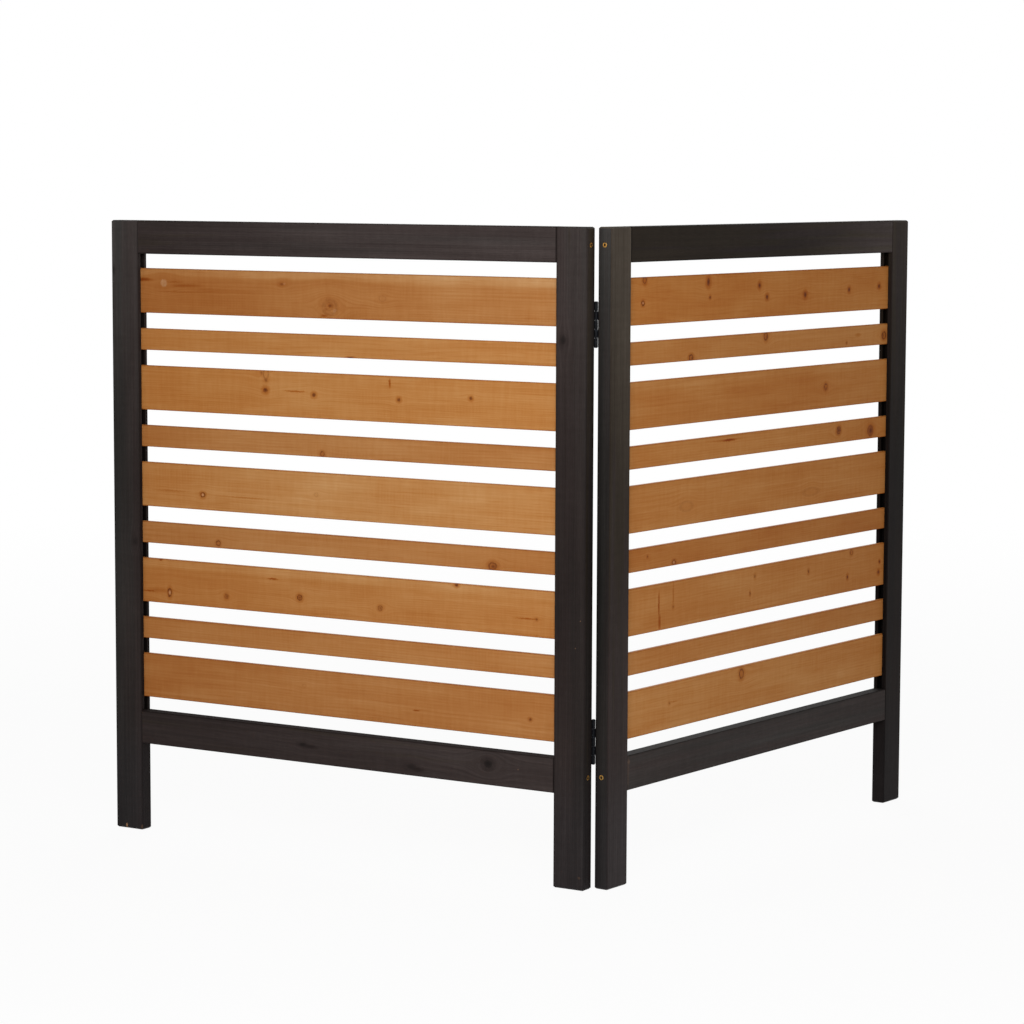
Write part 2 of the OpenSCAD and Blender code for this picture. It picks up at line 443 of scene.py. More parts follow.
@dataclass(frozen=True)
class Sawn:
    """How a board lay in its log: the pith's place from the board's middle, the width of a ring, a seed
    and how far the pith leans across the board for each millimetre along it."""

    ACROSS_MM = (18, 70)
    BACK_MM = (30, 75)
    RING_MM = (2.4, 3.4)
    SEEDS = (0, 400)
    LEANS = (-0.012, 0.012)

    pith_across: float
    pith_back: float
    ring: float
    seed: float
    lean: float

    @classmethod
    def of(cls, board: Board) -> "Sawn":
        """Picks the cut of a board, always the same one for the same name.

        Args:
            board: The board.

        Returns:
            Its cut.
        """
        pick = random.Random(board.name)
        across = pick.choice((-1, 1)) * pick.uniform(*cls.ACROSS_MM)
        return cls(across, pick.uniform(*cls.BACK_MM), pick.uniform(*cls.RING_MM), pick.uniform(*cls.SEEDS),
                   pick.uniform(*cls.LEANS))


@dataclass(frozen=True)
class CoatAndShade:
    """How much stain lies on a board, 1 being an even coat: at its low end, middle and high end.

    The low end is the foot of an upright board, and the end at the fold of a level one. The warmth of
    a slat's stain runs from 0, brown, to 1, amber. The sap is how much thinner the stain lies on a strip
    of sapwood along a slat's top edge. The change from end to end is partly painted light and shade: it
    makes the stiles paler towards their tops, where more light falls, and the left slats darker towards
    their far ends, where less light reaches.
    """

    low: float
    middle: float
    high: float
    warmth: float = 0.5
    sap: float = 0.0

    def over(self, timber: "Timber") -> Value:
        """The coat's thickness, with its painted light and shade, at each place of a board."""
        half = timber.board.length / 2
        return (timber.along_middle.rise(0, -half) * (self.low - self.middle)
                + timber.along_middle.rise(0, half) * (self.high - self.middle) + self.middle)


@dataclass(frozen=True)
class Layer:
    """Noise that is stretched along a board's grain.

    Its sizes are bumps to a millimetre along the grain, across the face and through the board. The
    offset keeps two layers from being alike, and the weight is how much one changes what it varies.
    """

    along: float
    across: float
    depth: float
    detail: float
    offset: float = 0.0
    weight: float = 1.0


@dataclass(frozen=True)
class Tint:
    """A colour that lies over a stain where a board has a mask, and how strong it is there."""

    mask: str
    colour: Colour
    share: float


class Timber:
    """The growth of one board as values that a stain reads.

    A pair of numbers is a step: where it is 0 and where it is 1. The flow is how the grain goes round a
    knot, and a spell is a run of like years.
    """

    SWAY = Layer(0.004, 0.01, 0.01, 1.5)
    SWAY_ACROSS_MM = 12
    SWAY_BACK_MM = 9
    LATEWOOD = (0.3, 0.92)
    RING_END = (1.0, 0.92)
    SPELL_RINGS = 2.7
    RAGGED = Layer(0.3, 0.3, 0.1, 3.0)
    RAGGED_MM = 3.4
    UNBROKEN = (0.3, 0.6)
    FLOW_REACH = 2.4
    FLOW_MARGIN_MM = 2.0
    FLOW_LENGTH = 1.6
    FLOW_PULL = 0.8
    FACE_MM = (2.0, 0.6)
    SPECULAR = 0.06

    def __init__(self, shader: Shader, board: Board, fold: Fold, knots: tuple[Knot, ...]) -> None:
        """Works out the grain of a board.

        Args:
            shader: The material that reads it.
            board: The board.
            fold: The fold of the screen.
            knots: The knots that the grain flows round.
        """
        self.shader = shader
        self.board = board
        out, back, up = fold.panel_place(shader, board.side)
        level = board.grain is Grain.LEVEL
        self.along = out if level else up
        self.along_middle = self.along - (board.middle.x if level else board.middle.z)
        self.across = up - board.middle.z if level else out - board.middle.x
        self.depth = back - board.middle.y
        self.bent = self.across
        self.unbroken: Value | None = None
        self.masks: dict[str, Value] = {}
        self.sawn = Sawn.of(board)
        if knots:
            self._grow_knots(knots)
        sway = self.streaks(self.SWAY).centred()
        lean = self.along_middle * self.sawn.lean
        beside = self.bent + (self.sawn.pith_across + sway * self.SWAY_ACROSS_MM + lean)
        before = self.depth + (self.sawn.pith_back + sway * self.SWAY_BACK_MM + lean)
        radius = (beside ** 2 + before ** 2).root()
        phase = (radius / self.sawn.ring).fraction()
        self.rings = phase.rise(*self.LATEWOOD) * phase.rise(*self.RING_END)
        spell = radius / (self.sawn.ring * self.SPELL_RINGS)
        self.years = shader.noise(shader.vector(spell, self.sawn.seed, 0.0), detail=1.0)

    def streaks(self, layer: Layer, output: str = "Fac") -> Value:
        """Makes one layer of noise, as one value or as a colour."""
        place = self.shader.vector(self.along * layer.along + (self.sawn.seed + layer.offset),
                                   self.bent * layer.across, self.depth * layer.depth)
        return self.shader.noise(place, layer.detail, output)

    def _grow_knots(self, knots: tuple[Knot, ...]) -> None:
        """Adds the knots to the masks and bends the grain round them.

        Args:
            knots: The knots.
        """
        ragged = self.streaks(self.RAGGED, "Color")
        red, green, blue = (self.shader.node("ShaderNodeSeparateColor", {}, {0: ragged}, channel)
                            for channel in ("Red", "Green", "Blue"))
        self.unbroken = blue.rise(*self.UNBROKEN)
        along = self.along + red.centred() * self.RAGGED_MM
        across = self.across + green.centred() * self.RAGGED_MM
        for knot in knots:
            beside = along - knot.along
            over = across - knot.across
            self._mask(knot, ((beside / knot.length) ** 2 + (over / knot.breadth) ** 2).root())
            if knot.mark not in (STREAK, BARE):
                reach = knot.breadth * self.FLOW_REACH + self.FLOW_MARGIN_MM
                far = (beside / (reach * self.FLOW_LENGTH)) ** 2 + (over / reach) ** 2
                self.bent = self.bent - over * (far * -1.0).exp() * self.FLOW_PULL

    def _mask(self, knot: Knot, span: Value) -> None:
        """Adds the patches of one knot to the masks.

        Args:
            knot: The knot.
            span: The distance from its middle, 1 at its edge.
        """
        for patch in PATCHES[knot.mark]:
            shape = span.rise(*patch.edge)
            if patch.hollow:
                shape = shape * span.rise(*patch.hollow)
            if patch.breaks:
                shape = shape * (self.unbroken * patch.breaks + (1 - patch.breaks))
            if patch.front:
                shape = shape * self.depth.rise(*(deep - self.board.thickness / 2 for deep in self.FACE_MM))
            added = shape * (patch.share * knot.strength)
            known = self.masks.get(patch.mask)
            self.masks[patch.mask] = added if known is None else known.most(added)

    def arris(self, step: Step) -> Value:
        """Nearness to the long edges of the board, by how far off it is 0 and is 1."""
        inside = (self.board.width + self.board.thickness) / 2 - (abs(self.across) + abs(self.depth))
        return inside.rise(*step)

    def ends(self, step: Step) -> Value:
        """Nearness to the ends of the board, by how far off it is 0 and is 1."""
        half = self.board.length / 2
        return abs(self.along_middle).rise(half - step[0], half - step[1])

    def haloed(self, stain_and_shade: Value, coat: float) -> Value:
        """Thickens a stain in the halos of the board's knots, if it has any."""
        return stain_and_shade + self.masks["halo"] * coat if "halo" in self.masks else stain_and_shade

    def finish(self, colour: Value | tuple[float, ...], stain_and_shade: Value, tints: tuple[Tint, ...],
               normal: Value, roughness: Value) -> bpy.types.Material:
        """Closes the board's material with a stain.

        Args:
            colour: The colour of an even coat.
            stain_and_shade: How much stain lies, with the painted shade, which deepens that colour.
            tints: The colours of the knots and the bare wood.
            normal: The relief of the grain.
            roughness: The roughness.

        Returns:
            The finished material.
        """
        colour = self.shader.node("ShaderNodeGamma", {}, {"Color": colour, "Gamma": stain_and_shade})
        for tint in tints:
            if tint.mask in self.masks:
                colour = self.shader.mix(colour, tint.colour, self.masks[tint.mask] * tint.share)
        return self.shader.finish({"Base Color": colour, "Normal": normal,
                                   "Specular IOR Level": self.SPECULAR, "Roughness": roughness})


@dataclass(frozen=True)
class SlatStain:
    """Orange-brown stain on a planed softwood slat. A thicker coat is darker and redder.

    A coat is how much more stain a feature of the wood takes, a relief how high it stands, and a pair of
    numbers where it starts and where it is full. Chatter is the planer's fine waves.
    """

    brown: Colour = (0.452, 0.195, 0.061)
    amber: Colour = (0.485, 0.195, 0.049)
    tints: tuple[Tint, ...] = (
        Tint("core", swatch(122, 62, 28), 0.85), Tint("pip", swatch(82, 42, 24), 0.75),
        Tint("pale", swatch(224, 196, 156), 0.9))
    cloud: Layer = Layer(0.007, 0.03, 0.03, 2.0, 90, 0.34)
    streak: Layer = Layer(0.0035, 0.26, 0.2, 3.0, 130, 0.22)
    fleck: Layer = Layer(0.02, 0.5, 0.4, 1.0, 150, 0.07)
    fibre: Layer = Layer(0.06, 1.6, 1.6, 2.0, 170, 0.14)
    ripple: Layer = Layer(0.14, 0.02, 0.02, 2.0, 250, 0.14)
    fleck_step: Step = (0.56, 0.76)
    chatter_mm: float = 5.5
    chatter_step: Step = (0.5, 0.68)
    chatter_coat: float = 0.015
    ring_coat: float = 0.09
    arris_mm: Step = (2.0, 0.6)
    arris_coat: float = 0.26
    end_mm: Step = (0.8, 0.1)
    end_coat: float = 0.3
    halo_coat: float = 0.8
    sap_mm: float = 13.0
    sap_fade_mm: float = 4.0
    ring_relief: float = 0.25
    fibre_relief: float = 0.3
    streak_relief: float = 0.25
    chatter_relief: float = 0.12
    relief: float = 0.35
    roughness: float = 0.5
    fibre_roughness: float = 0.14
    ring_gloss: float = 0.06

    def paint(self, timber: Timber, coat: CoatAndShade) -> bpy.types.Material:
        """Makes the material of one slat.

        Args:
            timber: The slat's grain.
            coat: How much stain lies, with the light and shade painted from end to end.

        Returns:
            The material.
        """
        cloud, streak, fleck, fibre, ripple = map(
            timber.streaks, (self.cloud, self.streak, self.fleck, self.fibre, self.ripple))
        chatter = (timber.along * (2 * math.pi / self.chatter_mm)).sine() * cloud.rise(*self.chatter_step)
        stain_and_shade = (coat.over(timber) + cloud.centred() * self.cloud.weight
                 + streak.centred() * self.streak.weight + fleck.rise(*self.fleck_step) * self.fleck.weight
                 + fibre.centred() * self.fibre.weight + ripple.centred() * self.ripple.weight
                 + chatter * self.chatter_coat + timber.rings * (timber.years * self.ring_coat)
                 + timber.arris(self.arris_mm) * self.arris_coat + timber.ends(self.end_mm) * self.end_coat)
        if coat.sap:
            edge = timber.board.width / 2 - self.sap_mm
            stain_and_shade = stain_and_shade - timber.bent.rise(edge - self.sap_fade_mm, edge + self.sap_fade_mm) * coat.sap
        body = [cool + (warm - cool) * coat.warmth for cool, warm in zip(self.brown, self.amber)]
        height = (timber.rings * self.ring_relief + fibre * self.fibre_relief
                  + streak * self.streak_relief + chatter * self.chatter_relief)
        roughness = self.roughness + fibre * self.fibre_roughness - timber.rings * self.ring_gloss
        return timber.finish((*body, 1.0), timber.haloed(stain_and_shade, self.halo_coat), self.tints,
                             timber.shader.bump(height, self.relief), roughness)


@dataclass(frozen=True)
class FrameLook:
    """How the stain took on one board of a frame.

    The shares of grey are at its lower or fold side, and at its upper or outer side. Those of olive
    are at its low end and its high end, as a coat's thickness is. The rest is what a stile's edge at
    the fold, a rail's upper edge, the seam at a rail's ends and the inner side of a stile's foot have
    beyond the face; on the edge at the fold, the upper edge and the foot's inner side that is painted
    shade, where less light falls. Matt is how much rougher a rail's upper edge is.
    """

    coat: CoatAndShade
    grey_low: float
    grey_high: float
    olive_low: float
    olive_high: float
    fold_edge_shade: float = 0.0
    edge_grey: float = 0.5
    edge_olive: float = -0.3
    shaded_upper_edge: float = 0.22
    seam: float = 0.3
    foot_side_shade: float = 0.14
    matt: float = 0.0


@dataclass(frozen=True)
class FrameStain:
    """Charcoal stain on the planed timber of a frame, thin enough to show the grain.

    The fields are as the slat stain's. A stile's inner side has the groove for the slats, and the back
    is the rear of its edge at the fold. The groove, the inner side and the back are darkened as painted
    shade, where shade falls, and so is a rail's upper edge. The floor bounce tint is painted light: a
    cooler tone on the feet for the light that the floor throws up.
    """

    plum: Colour = (0.0235, 0.0165, 0.0152)
    grey: Colour = (0.0176, 0.0165, 0.0152)
    olive: Colour = (0.0228, 0.0166, 0.0114)
    # Painted light: a cooler tint on the feet for the light that the floor throws up on them.
    slate: Colour = (0.0190, 0.0168, 0.0178)
    tints: tuple[Tint, ...] = (
        Tint("core", swatch(20, 17, 16), 0.6), Tint("pip", swatch(20, 17, 16), 0.5),
        Tint("pale", swatch(176, 132, 96), 0.85))
    cloud: Layer = Layer(0.005, 0.03, 0.03, 2.0, 60, 0.2)
    streak: Layer = Layer(0.004, 0.24, 0.24, 3.0, 90, 0.18)
    hue: Layer = Layer(0.0025, 0.07, 0.07, 1.0, 130, 0.9)
    tinge: Layer = Layer(0.004, 0.11, 0.11, 1.0, 210)
    fibre: Layer = Layer(0.06, 1.6, 1.6, 2.0, 170, 0.14)
    ripple: Layer = Layer(0.14, 0.03, 0.03, 2.0, 250, 0.06)
    olive_step: Step = (0.35, 0.7)
    # Where the painted floor light on the feet starts, above the bottom rail's top, and is full, below it,
    # and how strong it is.
    slate_mm: Step = (30.0, -110.0)
    slate_share: float = 0.6
    ring_coat: float = 0.05
    arris_mm: Step = (2.6, 0.6)
    arris_coat: float = 0.13
    halo_coat: float = 0.2
    # Painted shade in the empty groove and on the stile's inner side beside the slats, where shade falls.
    groove_mm: Step = (8.6, 8.1)
    groove_half_mm: Step = (4.6, 4.2)
    groove_shade: float = 0.4
    inner_side_shade: float = 0.14
    # Painted shade on a stile's edge at the fold and its back, in the narrow gap between the panels.
    back_from_mm: float = -2.0
    fold_back_shade: float = 0.14
    side_fade_mm: float = 0.5
    foot_fade_mm: float = 1.0
    # The width of the painted shade along a rail's upper edge.
    ledge_mm: float = 1.2
    joint_mm: Step = (1.4, 0.4)
    ring_relief: float = -0.35
    fibre_relief: float = 0.5
    streak_relief: float = 0.3
    relief: float = 0.4
    roughness: float = 0.52
    fibre_roughness: float = 0.2
    ring_gloss: float = 0.05

    def paint(self, timber: Timber, look: FrameLook, inner: int, foot: float) -> bpy.types.Material:
        """Makes the material of one board of a frame.

        Args:
            timber: The board's grain.
            look: How the stain took on it, and the shade painted on it.
            inner: The side of a stile that holds the slats, 1 away from the fold, or 0 for a rail.
            foot: The height of a stile's foot, above which the slats stand in its groove.

        Returns:
            The material.
        """
        shader = timber.shader
        half = timber.board.width / 2
        cloud, streak, hue, tinge, fibre, ripple = map(
            timber.streaks, (self.cloud, self.streak, self.hue, self.tinge, self.fibre, self.ripple))
        stain_and_shade = (look.coat.over(timber) + cloud.centred() * self.cloud.weight
                 + streak.centred() * self.streak.weight + fibre.centred() * self.fibre.weight
                 + ripple.centred() * self.ripple.weight + timber.rings * (timber.years * self.ring_coat)
                 + timber.arris(self.arris_mm) * self.arris_coat)
        stain_and_shade = timber.haloed(stain_and_shade, self.halo_coat)
        share = (timber.across * ((look.grey_high - look.grey_low) / timber.board.width)
                 + (look.grey_low + look.grey_high) / 2 + hue.centred() * self.hue.weight)
        end_to_end = timber.along_middle / timber.board.length
        tinge = tinge + end_to_end * (look.olive_high - look.olive_low)
        tinge = tinge + ((look.olive_low + look.olive_high) / 2 - NOISE_MEAN)
        roughness = self.roughness + fibre * self.fibre_roughness - timber.rings * self.ring_gloss
        if inner:
            side = timber.across * inner
            above = timber.along.rise(foot - self.foot_fade_mm, foot + self.foot_fade_mm)
            # Painted shade: the groove and the stile's inner side are darkened where shade falls between the
            # slats.
            groove = side.rise(half - self.groove_mm[0], half - self.groove_mm[1])
            groove = groove * abs(timber.depth).rise(*self.groove_half_mm) * above
            edge = side.rise(self.side_fade_mm - half, -half)
            # Painted shade on the edge at the fold, darkest at its back, in the gap between the panels.
            back = timber.depth.rise(self.back_from_mm, timber.board.thickness / 2)
            shaded = above * (self.inner_side_shade - look.foot_side_shade) + look.foot_side_shade
            stain_and_shade = (stain_and_shade + side.rise(half - self.side_fade_mm, half) * shaded + groove * self.groove_shade
                     + edge * (back * self.fold_back_shade + look.fold_edge_shade))
            share = share + edge * look.edge_grey
            tinge = tinge + edge * look.edge_olive
        else:
            # Painted shade on a rail's upper edge, which is also made rougher.
            shaded_upper_edge = timber.across.rise(half - self.ledge_mm, half)
            stain_and_shade = stain_and_shade + timber.ends(self.joint_mm) * look.seam + shaded_upper_edge * look.shaded_upper_edge
            roughness = roughness + shaded_upper_edge * look.matt
        colour = shader.mix(self.plum, self.grey, share.rise(0.0, 1.0))
        colour = shader.mix(colour, self.olive, tinge.rise(*self.olive_step))
        if inner:
            # Painted light: a cooler tint low on the stiles, for the light thrown up by the floor.
            low = timber.along.rise(foot + self.slate_mm[0], foot + self.slate_mm[1])
            colour = shader.mix(colour, self.slate, low * self.slate_share)
        height = timber.rings * self.ring_relief + fibre * self.fibre_relief + streak * self.streak_relief
        return timber.finish(colour, stain_and_shade, self.tints, shader.bump(height, self.relief), roughness)


@dataclass(frozen=True)
class BareWood:
    """Unfinished hardwood of the dowels, whose grain is counted in bumps to a metre."""

    light: Colour = swatch(214, 184, 140)
    dark: Colour = swatch(178, 142, 98)
    grain: Triple = (60, 60, 900)
    light_step: Step = (0.3, 0.7)
    roughness: float = 0.75
    fleck_gloss: float = 0.15

    def paint(self) -> bpy.types.Material:
        """Makes the material."""
        shader = Shader.named("dowel_wood")
        fleck = shader.noise(shader.place(self.grain), 3.0)
        colour = shader.ramp(fleck, self.dark, self.light, self.light_step)
        return shader.finish({"Base Color": colour, "Normal": shader.bump(fleck, strength=0.3),
                              "Roughness": self.roughness - fleck * self.fleck_gloss})


@dataclass(frozen=True)
class Plating:
    """A plated or bare metal with a cloudy bloom and scratches, counted in bumps to a metre."""

    name: str
    bright: Colour
    dull: Colour
    roughness: float
    blooms: float = 400
    scratches: Triple = (300, 2600, 2600)
    bright_step: Step = (0.3, 0.6)
    bloom_roughness: float = 0.15

    def paint(self) -> bpy.types.Material:
        """Makes the material."""
        shader = Shader.named(self.name)
        bloom = shader.clouds(self.blooms)
        scratch = shader.noise(shader.place(self.scratches))
        colour = shader.ramp(bloom, self.dull, self.bright, self.bright_step)
        return shader.finish({"Base Color": colour, "Metallic": 1.0,
                              "Normal": shader.bump(scratch, strength=0.15, depth_mm=0.05),
                              "Roughness": self.roughness + bloom * self.bloom_roughness})


@dataclass(frozen=True)
class ScrewZinc:
    """Yellow zinc plate on the frame screws, with grime and painted shade in the recess of each head."""

    bright: Colour = swatch(236, 190, 108)
    dull: Colour = swatch(168, 118, 52)
    # The recess of each head is darkened, partly grime and partly painted shade.
    shade_and_grime: Colour = swatch(44, 30, 18)
    blooms: float = 500
    bright_step: Step = (0.3, 0.6)
    shade_and_grime_step: Step = (0.1, 0.9)
    recess_mm: float = 1.9
    fade_mm: float = 0.3
    patchiness: float = 0.3
    dulling: float = 0.9
    roughness: float = 0.28
    bloom_roughness: float = 0.2

    def paint(self, side: Side, fold: Fold, levels: tuple[float, ...], back: float) -> bpy.types.Material:
        """Makes the material of one panel's screws.

        Args:
            side: The panel.
            fold: The fold of the screen.
            levels: The heights of the screws.
            back: How far behind the fold's line their axes lie.

        Returns:
            The material.
        """
        shader = Shader.named(f"yellow_zinc.{side.value}")
        depth, up = fold.panel_place(shader, side)[1:]
        off = [((up - level) ** 2 + (depth - back) ** 2).root() for level in levels]
        axle = off[0].least(off[1])
        bloom = shader.clouds(self.blooms)
        # Painted shade and grime: darker and less metallic near each screw's axis, in the head's recess.
        recess_shade_and_grime = (axle.rise(self.recess_mm + self.fade_mm, self.recess_mm - self.fade_mm)
                + bloom.centred() * self.patchiness).rise(*self.shade_and_grime_step)
        colour = shader.mix(self.dull, self.bright, bloom.rise(*self.bright_step))
        colour = shader.mix(colour, self.shade_and_grime, recess_shade_and_grime)
        return shader.finish({"Base Color": colour, "Metallic": 1.0 - recess_shade_and_grime * self.dulling,
                              "Normal": shader.bump(bloom, strength=0.2, depth_mm=0.1),
                              "Roughness": self.roughness + bloom * self.bloom_roughness})


@dataclass(frozen=True)
class Enamel:
    """Black semi-gloss enamel of the hinges, rubbed to the steel here and there."""

    coat: Colour = (0.004, 0.0045, 0.006)
    rubbed: Colour = (0.022, 0.026, 0.033)
    blooms: float = 350
    peel_bumps: float = 1500
    rubbed_step: Step = (0.56, 0.72)
    specular: float = 0.08
    roughness: float = 0.2
    bloom_roughness: float = 0.3

    def paint(self) -> bpy.types.Material:
        """Makes the material."""
        shader = Shader.named("black_steel")
        bloom = shader.clouds(self.blooms)
        peel = shader.clouds(self.peel_bumps, 2.0)
        colour = shader.mix(self.coat, self.rubbed, bloom.rise(*self.rubbed_step))
        return shader.finish({"Base Color": colour, "Specular IOR Level": self.specular,
                              "Normal": shader.bump(peel, strength=0.15, depth_mm=0.05),
                              "Roughness": self.roughness + bloom * self.bloom_roughness})


def dress(node: bpy.types.Object, material: bpy.types.Material) -> None:
    """Gives a piece its finish.

    Args:
        node: The piece.
        material: The finish.
    """
    node.data.materials.clear()
    node.data.materials.append(material)
    LOG.info("%s wears %s", node.name, material.name)


KNOTS: dict[str, tuple[Knot, ...]] = {
    "left_slat_1": (
        Knot(755, 12, 6.6, 6.2, DISC, 0.24), Knot(528, 16, 2.2, 1.8, DISC, 0.15),
        Knot(533, 15, 4.4, 2.6, SOUND, 0.42), Knot(796, 17, 27, 4, STREAK, 0.9),
        Knot(712, 9, 46, 5, STREAK, 0.3), Knot(734, 14, 24, 2, STREAK, 0.3),
        Knot(720, -1, 70, 1.8, STREAK, 0.25), Knot(640, 2, 90, 5, STREAK, 0.16),
        Knot(446, -17, 12, 11, RINGED, 0.2), Knot(447, -16, 7, 6, RINGED, 0.24),
        Knot(445, -15, 3.6, 2.4, SOUND, 0.66), Knot(437, -22, 3.4, 2.6, DISC, 0.12),
        Knot(456, -30, 9, 3, STREAK, 0.7), Knot(352, -2, 6, 4, RINGED, 0.12)),
    "left_slat_2": (Knot(409, -16, 6, 1.8, SOUND, 0.9),),
    "left_slat_3": (
        Knot(564, 5, 4.4, 4.2, SOUND, 0.9), Knot(563, 29, 4.4, 8, RINGED, 0.3),
        Knot(563, 20, 3, 3.2, SOUND, 0.4), Knot(571, 31, 2.4, 3, SOUND, 0.4),
        Knot(475, 1, 3.6, 3.5, SOUND, 0.82), Knot(508, 5, 29, 1.7, STREAK, 0.8),
        Knot(323, 0, 3.2, 3.2, SOUND, 0.74), Knot(198, 7, 2.9, 2.9, SOUND, 0.76),
        Knot(339, 24, 2.6, 10, STREAK, 0.9)),
    "left_slat_4": (Knot(460, -12, 3.4, 3.4, RINGED, 0.75),),
    "left_slat_5": (
        Knot(683, -11, 3.8, 3.4, PALE), Knot(600, -11, 75, 1.8, STREAK, 0.25),
        Knot(745, -8, 50, 2.2, STREAK, 0.35), Knot(471, 1, 3.2, 2.8, RINGED, 0.15)),
    "left_slat_6": (
        Knot(654, -9, 3.6, 3.6, RINGED, 0.75), Knot(160, -10.5, 6, 4.8, RINGED, 0.7),
        Knot(159, -11, 4.6, 3.8, SOUND, 0.65)),
    "left_slat_7": (
        Knot(748, -17, 3.6, 5.6, PALE, 0.9), Knot(639, -15, 3.2, 3.4, RINGED, 0.6),
        Knot(638, -15, 3, 3, SOUND, 0.45), Knot(502, -7, 4.2, 3.8, RINGED, 0.9),
        Knot(502, -7, 3, 2.6, SOUND, 0.5), Knot(356, -12, 3.8, 3.6, RINGED, 0.5),
        Knot(355, -12, 3.6, 3.4, SOUND, 0.35), Knot(552, 18, 14, 1.8, STREAK),
        Knot(787, -17, 20, 1.8, STREAK), Knot(768, -15, 34, 7, STREAK, 0.25),
        Knot(765, 33, 5, 2.4, STREAK), Knot(222, 32, 3.6, 2.6, SOUND, 0.9),
        Knot(100, -8, 32, 1.6, STREAK, 0.75), Knot(85, -8, 2.4, 2, SOUND, 0.5)),
    "left_slat_9": (
        Knot(292, -10, 9, 1.6, STREAK), Knot(95, -5, 2.6, 2.4, SOUND, 0.68),
        Knot(494, 9, 3, 2.4, RINGED, 0.15)),
    "right_slat_1": (
        Knot(96, 30, 4, 4.6, RINGED), Knot(92, -3, 3.4, 3.4, PALE), Knot(265, 23, 4.6, 6.2),
        Knot(270, 0, 2.4, 2.6, SOUND, 0.8), Knot(408, 14, 3.6, 4.2), Knot(430, -4, 3.9, 3.8),
        Knot(542, -4, 4.8, 4.6), Knot(676, 0, 3.4, 3.8), Knot(771, 3, 3.8, 3.8)),
    "right_slat_2": (
        Knot(220, -12, 4.8, 4.0, RINGED), Knot(222, -13, 3, 2.4, SOUND, 0.5),
        Knot(428, 11, 4.8, 5.6, RINGED), Knot(430, 10, 3, 3.6, SOUND, 0.4),
        Knot(671, -9, 2, 2, SOUND, 0.6), Knot(706, 2, 14, 4.4, STREAK, 0.35),
        Knot(789, -2, 6, 5.4, RINGED), Knot(787, -2, 4, 4, SOUND, 0.45)),
    "right_slat_3": (Knot(608, -1, 4.4, 4.6, RINGED, 0.8), Knot(608, -3, 2.4, 2.4, SOUND, 0.4)),
    "right_slat_4": (
        Knot(326, 9, 28, 2.8, STREAK, 1.4), Knot(318, 9.5, 62, 1.6, STREAK, 0.5),
        Knot(650, 3, 5.6, 5.4, RINGED, 0.9), Knot(650, 3, 5, 4.6, SOUND, 0.8),
        Knot(750, -4, 8, 7.6, RINGED, 0.55), Knot(751, -4, 6.6, 6.4, SOUND, 0.95)),
    "right_slat_5": (Knot(211, -7, 16, 7, RINGED, 0.12), Knot(567, -13, 22, 6, RINGED, 0.12)),
    "right_slat_6": (Knot(109, 3, 2.2, 2, SOUND, 0.6), Knot(179, -12, 4.4, 3.2, PALE, 0.75)),
    "right_slat_7": (
        Knot(140, 4, 2.8, 26, STREAK, 1.2), Knot(142, -22, 5, 17, STREAK, 0.8),
        Knot(178, 14, 2, 30, STREAK, 0.45), Knot(178, -3, 2.2, 2.4, SOUND, 0.5),
        Knot(696, 28, 4, 3.6, RINGED, 0.7), Knot(786, 5, 2.6, 2.6), Knot(783, -12, 3.2, 3.4),
        Knot(684, -10, 2.6, 3.6), Knot(563, 11, 2.6, 3.2, SOUND, 0.6),
        Knot(404, 19, 3.0, 3.4, SOUND, 0.45), Knot(391, -6, 2, 3, SOUND, 0.65)),
    "right_slat_9": (
        Knot(369, 23, 5.6, 6.6, RINGED, 0.72), Knot(170, 4, 2.6, 2.2, SOUND, 0.4),
        Knot(182, 5, 16, 1.6, STREAK, 0.4)),
    "left_bottom_rail": (
        Knot(162, 6, 7.5, 6), Knot(163, 5, 11, 9, RINGED, 0.16), Knot(492, 2, 7, 3.2, SOUND, 0.8),
        Knot(478, 0, 20, 5, STREAK, 0.9), Knot(296, -12, 9, 4.5, SOUND, 0.6),
        Knot(284, -15, 16, 6, STREAK, 0.9), Knot(111, 3, 0.9, 0.9, BARE, 0.3)),
    "left_hinge_stile": (
        Knot(790, 13, 7, 5, SOUND, 0.7), Knot(391, -18, 1, 0.8, BARE, 0.4),
        Knot(351, -10, 1, 0.8, BARE, 0.3), Knot(19, -18, 2.2, 2.6, BARE, 0.08)),
    "left_outer_stile": (
        Knot(454, -16, 6, 5, SOUND, 0.5), Knot(873, 22, 6, 3, SOUND, 0.6),
        Knot(3, 5.5, 5.5, 1.7, BARE, 0.9), Knot(4, -24.2, 5, 1.6, BARE, 0.14)),
    "right_bottom_rail": (Knot(54, 16, 2.6, 4, BARE, 0.14), Knot(53, 1, 2.4, 24, BARE, 0.05)),
}

